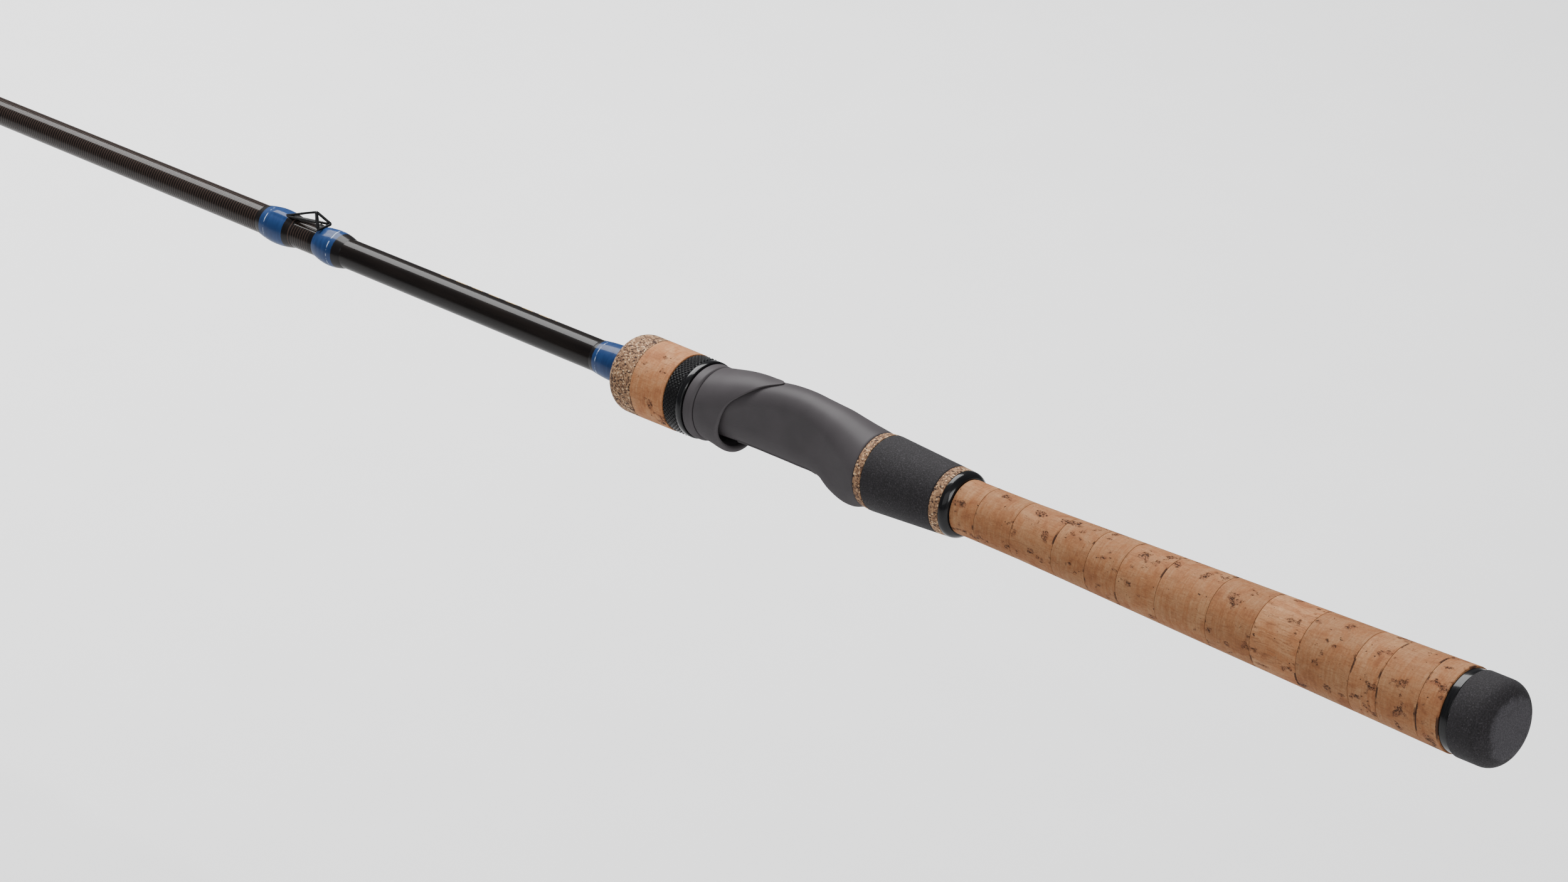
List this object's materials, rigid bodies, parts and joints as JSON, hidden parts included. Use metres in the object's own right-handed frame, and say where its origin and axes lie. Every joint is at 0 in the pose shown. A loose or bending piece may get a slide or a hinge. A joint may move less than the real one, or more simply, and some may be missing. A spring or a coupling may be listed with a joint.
{
  "type": "spinning rod",
  "caption": "Spinning fishing rod with a cork and foam handle, a hidden-thread reel seat, a hook keeper and line guides below the blank.",
  "frame": {"origin": "centre of the butt cap's flat end face", "axes": "+X out of the butt along the rod's axis, so the tip lies towards -X; +Z towards the hook keeper, opposite the reel and the guides"},
  "size_m": [1.9823, 0.0264, 0.0572],
  "materials": {
    "carbon": "clear-coated carbon-fibre tube, near black, glossy",
    "cork": "natural cork, dry and matt, with dark pits",
    "burl_cork": "burl cork: tan, brown and dark grains, matt",
    "eva": "near-black EVA foam, fine matt grain",
    "seat": "soft-touch dark grey moulding",
    "black_metal": "black anodised, glossy",
    "wrap": "blue thread under glossy epoxy with a pale trim band",
    "guide_frame": "black-coated steel",
    "guide_ring": "polished dark ceramic",
    "arbor": "rigid foam bushing"
  },
  "bodies": {
    "butt_section": {"blank_butt_section": "carbon", "rear_cork_ring_01": "cork", "rear_cork_ring_02": "cork", "rear_cork_ring_03": "cork", "rear_cork_ring_04": "cork", "rear_cork_ring_05": "cork", "rear_cork_ring_06": "cork", "rear_cork_ring_07": "cork", "rear_cork_ring_08": "cork", "rear_cork_ring_09": "cork", "rear_cork_ring_10": "cork", "rear_cork_ring_11": "cork", "rear_cork_ring_12": "cork", "rear_cork_ring_13": "cork", "mid_burl_ring": "burl_cork", "seat_burl_ring": "burl_cork", "butt_cap": "eva", "mid_eva_grip": "eva", "reel_seat_body": "seat", "butt_trim_ring": "black_metal", "mid_trim_ring": "black_metal", "seat_arbor_rear": "arbor", "seat_arbor_front": "arbor", "fore_trim_wrap": "wrap", "keeper_front_wrap": "wrap", "keeper_rear_wrap": "wrap", "guide_1_front_wrap": "wrap", "guide_1_rear_wrap": "wrap", "hook_keeper": "guide_frame", "guide_1_frame": "guide_frame", "guide_1_ring": "guide_ring"},
    "hood": {"sliding_hood": "seat", "hood_collar": "seat"},
    "lock_nut": {"lock_nut": "seat", "knurled_ring": "black_metal", "fore_cork_ring": "cork", "fore_burl_ring": "burl_cork"},
    "tip_section": {"blank_tip_section": "carbon", "ferrule_wrap": "wrap", "guide_2_front_wrap": "wrap", "guide_2_rear_wrap": "wrap", "guide_3_wrap": "wrap", "guide_4_wrap": "wrap", "guide_5_wrap": "wrap", "guide_6_wrap": "wrap", "guide_2_frame": "guide_frame", "guide_3_frame": "guide_frame", "guide_4_frame": "guide_frame", "guide_5_frame": "guide_frame", "guide_6_frame": "guide_frame", "guide_2_ring": "guide_ring", "guide_3_ring": "guide_ring", "guide_4_ring": "guide_ring", "guide_5_ring": "guide_ring", "guide_6_ring": "guide_ring", "tip_top_frame": "guide_frame", "tip_top_ring": "guide_ring"}
  },
  "joints": [
    {"name": "hood_slide", "type": "slide", "parent": "butt_section", "child": "hood", "axis": [-1, 0, 0], "range_m": [0, 0.024]},
    {"name": "nut_turn", "type": "hinge", "parent": "hood", "child": "lock_nut", "pos_m": [-0.33, 0, 0], "axis": [-1, 0, 0], "range_deg": [0, 2880]},
    {"name": "tip_section_pull", "type": "slide", "parent": "butt_section", "child": "tip_section", "axis": [-1, 0, 0], "range_m": [0, 0.07]}
  ],
  "couplings": [
    {"joint": "hood_slide", "follows": "nut_turn", "m_per_rad": 0.00047746}
  ]
}
